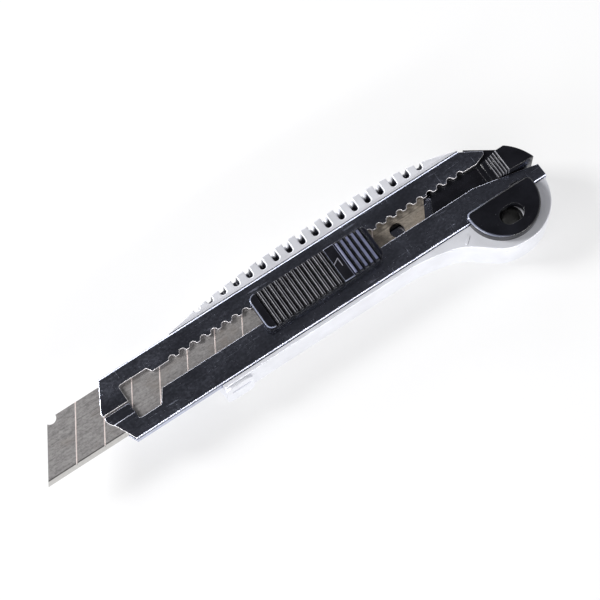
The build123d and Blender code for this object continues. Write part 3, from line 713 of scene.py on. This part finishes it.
@dataclass
class Studio:
    """Pale floor, soft lights, a sky that is dark overhead, and the camera."""

    lens: float = 107.9
    camera_at: Vector = field(default_factory=lambda: Vector((-112.4, -163.75, 536.3)) * MM)
    forward: Vector = field(default_factory=lambda: Vector((0.1666, 0.2921, -0.9418)))
    upward: Vector = field(default_factory=lambda: Vector((0.5323, 0.7774, 0.3353)))
    sky_bands: tuple[tuple[float, float], ...] = (
        (0.0, 0.42), (1.0, 0.033), (0.14, 0.48), (0.26, 0.80), (0.44, 0.80), (0.62, 0.22), (0.78, 0.038))
    sky_strength: float = 1.07
    sky_blue: float = 1.05
    floor_tint: float = 0.36
    floor_glow: float = 0.585
    floor_half: float = 3.0
    aim: tuple[float, float, float] = (-0.02, 0.0, 0.01)
    lamps: tuple[Lamp, ...] = (
        Lamp("key", (-0.90, 0.70, 0.80), (0.40, 0.40), 18.0),
        Lamp("left", (-1.20, -0.30, 0.50), (0.70, 0.34), 7.0),
        Lamp("front", (0.00, -1.30, 0.52), (1.80, 0.10), 11.0),
        Lamp("back", (0.25, 1.30, 0.60), (1.20, 0.20), 4.0),
    )

    def camera(self) -> None:
        """Place the camera and make it the scene's own."""
        data = bpy.data.cameras.new("camera")
        data.lens = self.lens
        data.sensor_width = 36.0
        data.clip_start = 0.01
        made = bpy.data.objects.new("camera", data)
        bpy.context.scene.collection.objects.link(made)
        forward = self.forward.normalized()
        right = forward.cross(self.upward).normalized()
        up = right.cross(forward)
        turn = Matrix((right, up, -forward)).transposed().to_4x4()
        made.matrix_world = Matrix.Translation(self.camera_at) @ turn
        bpy.context.scene.camera = made

    def floor(self) -> None:
        """Add the pale floor, which isn't part of the object."""
        shader = Shader("floor")
        shader.set(Base_Color=(self.floor_tint,) * 3 + (1.0,), Roughness=0.9, Specular_IOR_Level=0.0,
                   Emission_Color=(1.0, 1.0, 1.0, 1.0), Emission_Strength=self.floor_glow)
        bm = bmesh.new()
        bmesh.ops.create_grid(bm, x_segments=1, y_segments=1, size=self.floor_half)
        made = to_object(bm, "floor", shader.material)
        made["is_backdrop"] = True

    def sky(self) -> None:
        """World light: pale round the sides and dark overhead, which polished steel mirrors."""
        world = bpy.data.worlds.new("studio")
        bpy.context.scene.world = world
        world.use_nodes = True
        tree = world.node_tree
        tree.nodes.clear()
        out = tree.nodes.new("ShaderNodeOutputWorld")
        back = tree.nodes.new("ShaderNodeBackground")
        place = tree.nodes.new("ShaderNodeTexCoord")
        split = tree.nodes.new("ShaderNodeSeparateXYZ")
        ramp = tree.nodes.new("ShaderNodeValToRGB")
        tree.links.new(place.outputs["Generated"], split.inputs["Vector"])
        tree.links.new(split.outputs["Z"], ramp.inputs["Fac"])
        tree.links.new(ramp.outputs["Color"], back.inputs["Color"])
        tree.links.new(back.outputs["Background"], out.inputs["Surface"])
        stops = ramp.color_ramp
        for number, (height, level) in enumerate(self.sky_bands):
            stop = stops.elements[number] if number < 2 else stops.elements.new(height)
            stop.position = height
            stop.color = (level, level, level * self.sky_blue, 1.0)
        back.inputs["Strength"].default_value = self.sky_strength

    def build(self) -> None:
        """Set up everything that isn't the object."""
        scene = bpy.context.scene
        scene.view_settings.view_transform = "Standard"
        self.camera()
        self.floor()
        self.sky()
        for lamp in self.lamps:
            lamp.hang(self.aim)


# ---- sub-assemblies ---------------------------------------------------------------------------------


@dataclass
class Handle:
    """Casting, channel, tail cap and their fasteners."""

    casting_ease: float = 0.35 * MM
    channel_ease: float = 0.20 * MM
    cap_ease: float = 0.20 * MM
    cap_roughness: float = 0.12
    bore_roughness: float = 0.6
    bore_shade_tint: tuple[float, float, float] = (0.003, 0.003, 0.004)
    rim_run: float = 9.0 * MM
    rim_fade: float = 9.5 * MM
    rim_highlight_tint: tuple[float, float, float] = (0.24, 0.26, 0.34)
    back_clear: float = 0.6 * MM
    grip_from: float = 0.55
    corner_y: float = -1.9 * MM
    corner_reach: tuple[float, float] = (0.8 * MM, 2.6 * MM)
    window_inset: float = 9.1 * MM
    steel: PlainSteel = PlainSteel()

    def build(self) -> None:
        """Ease the edges of the visible shells and dress the rest."""
        low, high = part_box("handle_casting")
        nose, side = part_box("blade_channel")
        back_y = side.y + self.back_clear
        grip_z = self.grip_from * high.z
        corner_x = nose.x + self.window_inset

        def grip(point: Vector) -> float:
            """All of the easing on the grip's upper edges and none elsewhere on the casting."""
            return float(point.y > back_y and point.z > grip_z)

        def off_corner(point: Vector) -> float:
            """All of the easing except where the window meets the bent flap."""
            near_x = abs(point.x - corner_x) <= self.corner_reach[0]
            return float(not (near_x and abs(point.y - self.corner_y) <= self.corner_reach[1]))

        casting = CastSilver(front_x=low.x, top_z=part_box("lanyard_sleeve")[1].z).build()
        cap_low, cap_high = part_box("tail_cap")
        # Painted highlight on the cap's rounded rim, strongest at its front end and fading rearwards.
        rim = PaintedRimHighlight(cap_high.z, cap_low.x + self.rim_run, fade=self.rim_fade, tint=self.rim_highlight_tint)
        plastic = BlackPlastic("cap_plastic", roughness=self.cap_roughness, rim=rim).build()
        # Painted shade: the lanyard sleeve is made near black and matte so the bore reads as the shade
        # inside the hole.
        painted_bore_shade = BlackPlastic("bore_shade_plastic", tint=self.bore_shade_tint, roughness=self.bore_roughness).build()
        for node, material, radius, slot, share in (
            ("handle_casting", casting, self.casting_ease, Slot.CASTING, grip),
            ("blade_channel", ChannelSteel().build(), self.channel_ease, Slot.CHANNEL, off_corner),
            ("tail_cap", plastic, self.cap_ease, Slot.BLACK, everywhere),
            ("lanyard_sleeve", painted_bore_shade, self.cap_ease, Slot.BLACK, everywhere),
        ):
            made = eased_copy(node, node + "_shell", material, radius, share=share)
            stand_in(node, "handle", slot, made)
        steel = self.steel.build()
        for node in ("channel_rivets", "cap_screws"):
            dress(node, steel)


@dataclass
class Slider:
    """Thumb slide, its carrier, the blade in use and the small parts with it."""

    ease: float = 0.12 * MM
    button_ease: float = 0.12 * MM
    rim_front: float = 3.0 * MM
    rim_rear: float = 27.2 * MM
    arrow_tip: tuple[float, float] = (1.5 * MM, 1.45 * MM)
    arrow_left: tuple[float, float] = (2.4 * MM, 1.4 * MM)
    arrow_right: float = 2.8 * MM
    flat_drop: float = 0.2 * MM
    coil_wire: float = 0.17 * MM
    coil_turns: int = 3
    coil_steps: int = 24
    press: float = 0.5 * MM
    ridge_pitch: float = 2.03 * MM
    ridge_first: float = 4.15 * MM
    ridge_count: int = 12
    ridge_width: float = 0.93 * MM
    button_pitch: float = 1.97 * MM
    button_first: float = 0.40 * MM
    button_count: int = 5
    button_tint: tuple[float, float, float] = (0.006, 0.0065, 0.011)
    button_roughness: float = 0.22
    steel: PlainSteel = PlainSteel("slide_steel")

    def ridge_highlights(self) -> PaintedEdgeHighlights:
        """Painted highlights on both top edges of each ridge on the thumb slide."""
        low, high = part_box("thumb_slide")
        edge = self.ridge_width / 2 - 0.10 * MM
        return PaintedEdgeHighlights(start=low.x + self.ridge_first, pitch=self.ridge_pitch, count=self.ridge_count,
                         offsets=(-edge, edge), half=0.11 * MM, low_z=high.z - 0.25 * MM, high_z=high.z + MM,
                         low_y=low.y + 0.5 * MM, high_y=high.y - 0.4 * MM, tint=(0.25, 0.25, 0.27))

    def button_highlights(self) -> PaintedEdgeHighlights:
        """Painted highlight over the whole top of each ridge on the button."""
        low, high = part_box("reload_button")
        return PaintedEdgeHighlights(start=low.x + self.button_first, pitch=self.button_pitch, count=self.button_count,
                         half=0.42 * MM, low_z=high.z - 0.3 * MM, high_z=high.z + MM,
                         low_y=low.y + 0.7 * MM, high_y=high.y - 0.6 * MM, tint=(0.125, 0.135, 0.215))

    def coil(self) -> None:
        """The button's return spring, wound from wire."""
        low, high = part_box("button_spring")
        middle = (low + high) / 2
        radius = (high.x - low.x) / 2 - self.coil_wire
        rise = (high.z - low.z - 2 * self.coil_wire) / (self.coil_turns * self.coil_steps)
        start = Matrix.Translation((middle.x + radius, middle.y, low.z + self.coil_wire))
        bm = bmesh.new()
        bmesh.ops.create_circle(bm, segments=8, radius=self.coil_wire, cap_ends=True,
                                matrix=start @ Matrix.Rotation(math.radians(90.0), 4, "X"))
        bmesh.ops.spin(bm, geom=bm.faces[:], cent=(middle.x, middle.y, 0.0), axis=(0.0, 0.0, 1.0),
                       dvec=(0.0, 0.0, rise), angle=math.tau * self.coil_turns,
                       steps=self.coil_turns * self.coil_steps, use_merge=False)
        made = to_object(bm, "button_coil", self.steel.build())
        stand_in("button_spring", "slider", Slot.SPRING, made)
        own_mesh(made)

    def arrow(self) -> PressedMark:
        """The small arrow pressed into the slide's flat field."""
        _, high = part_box("thumb_slide")
        tip = (high.x - self.arrow_tip[0], self.arrow_tip[1])
        left = (tip[0] - self.arrow_left[0], tip[1] - self.arrow_left[1])
        right = (tip[0], tip[1] - self.arrow_right)
        return PressedMark(((left, tip), (tip, right)), high.z - self.flat_drop)

    def rim(self) -> PaintedRimHighlight:
        """Painted highlight on the rim round the slide's front end and its flat field."""
        low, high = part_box("thumb_slide")
        return PaintedRimHighlight(high.z, low.x + self.rim_front, rear_x=low.x + self.rim_rear)

    def build(self) -> None:
        """Dress the slider's pieces."""
        self.coil()
        slide = BlackPlastic("slide_plastic", painted_highlights=self.ridge_highlights(), rim=self.rim(),
                             mark=self.arrow()).build()
        carrier = BlackPlastic("carrier_plastic").build()
        button = BlackPlastic("button_plastic", self.button_tint, self.button_roughness,
                              self.button_highlights()).build()
        for node, material, body, slot, radius in (
            ("thumb_slide", slide, "slider", Slot.BLACK, self.ease),
            ("slide_carrier", carrier, "slider", Slot.BLACK, self.ease),
            ("reload_button", button, "reload_button", Slot.BLUE_BLACK, self.button_ease),
        ):
            stand_in(node, body, slot, eased_copy(node, node + "_shell", material, radius))
        low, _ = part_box("working_blade")
        dress("working_blade", BladeSteel("blade_steel", tip_x=low.x, edge_y=low.y).build())
        steel = self.steel.build()
        for node in ("carriage_plate", "carriage_rivets", "blade_pin", "pawl_spring", "lock_pawl"):
            dress(node, steel)


@dataclass
class Magazine:
    """Rear plug, spare blades and the follower beneath them."""

    ease: float = 0.12 * MM
    pad_rim: float = 0.35 * MM
    leaf_ease: float = 0.02 * MM
    leaf_press: float = 0.3 * MM
    plug_step: float = 15.0 * MM
    step_from_front: float = 1.8 * MM
    step_line: float = 0.14 * MM
    step_half: float = 0.11 * MM
    step_drop: float = 3.4 * MM
    step_high_y: float = 3.3 * MM
    step_highlight_tint: tuple[float, float, float] = (0.23, 0.23, 0.25)
    step_run: float = 0.82 * MM
    step_count: int = 5
    spare_tint: tuple[float, float, float] = (0.42, 0.37, 0.31)
    # Painted shade: the follower is near black so the blade hole above it reads as shade.
    steel: PlainSteel = PlainSteel("follower_shade_steel", (0.10, 0.10, 0.11))

    def step_highlights(self) -> PaintedEdgeHighlights:
        """Painted highlight on the front edge of each step up to the thumb pad."""
        _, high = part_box("magazine_plug")
        step_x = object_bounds()[1][0] - self.plug_step + self.step_from_front
        return PaintedEdgeHighlights(start=step_x + self.step_line, pitch=self.step_run, count=self.step_count,
                         half=self.step_half, low_z=high.z - self.step_drop, high_z=high.z + MM,
                         high_y=self.step_high_y, tint=self.step_highlight_tint)

    def build(self) -> None:
        """Dress the magazine's pieces."""
        for node in ("spare_blade_upper", "spare_blade_lower"):
            low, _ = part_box(node)
            dress(node, BladeSteel(node + "_steel", tint=self.spare_tint, tip_x=low.x, edge_y=low.y).build())
        plastic = BlackPlastic("plug_plastic", painted_highlights=self.step_highlights()).build()
        rim_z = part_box("magazine_plug")[1].z - self.pad_rim
        stand_in("magazine_plug", "magazine_plug", Slot.BLACK,
                 eased_copy("magazine_plug", "magazine_plug_shell", plastic, self.ease,
                            share=lambda point: float(point.z < rim_z)))
        steel = self.steel.build()
        dress("follower_plate", steel)
        low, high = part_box("follower_spring")
        leaf = eased_copy("follower_spring", "follower_leaf", steel, self.leaf_ease)
        stand_in("follower_spring", "handle", Slot.SPRING, leaf)
        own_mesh(leaf)


def main() -> None:
    """Build the studio and every sub-assembly."""
    logging.basicConfig(level=logging.INFO)
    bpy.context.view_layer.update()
    Studio().build()
    Handle().build()
    Slider().build()
    Magazine().build()


if __name__ == "__main__":
    main()
